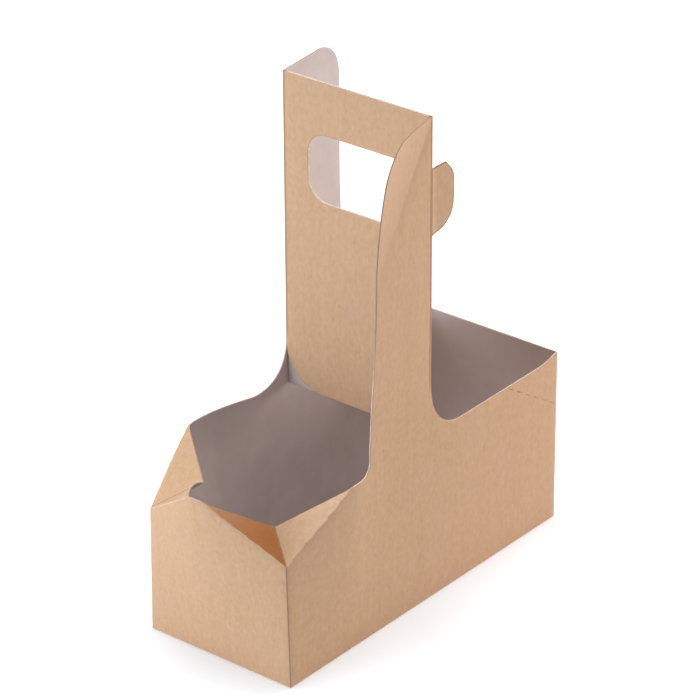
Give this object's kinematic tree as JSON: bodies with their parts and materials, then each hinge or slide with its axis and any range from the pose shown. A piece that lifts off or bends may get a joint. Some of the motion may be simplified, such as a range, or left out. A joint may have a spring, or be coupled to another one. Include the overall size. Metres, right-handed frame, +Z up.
{
  "type": "cardboard cup carrier",
  "caption": "Open box carrier folded from one sheet of kraft-faced board, with a tall cross handle between its cup pockets.",
  "frame": {"origin": "middle of the box's footprint, on the underside of its bottom panel", "axes": "+X along the box from its tucked end to its straight end, +Y across the box away from the near long wall, +Z up"},
  "size_m": [0.191, 0.0958, 0.2206],
  "materials": {
    "kraft_board": "matte uncoated kraft outside, white inside"
  },
  "bodies": {
    "root": {"folded_carrier": "kraft_board"}
  },
  "joints": []
}
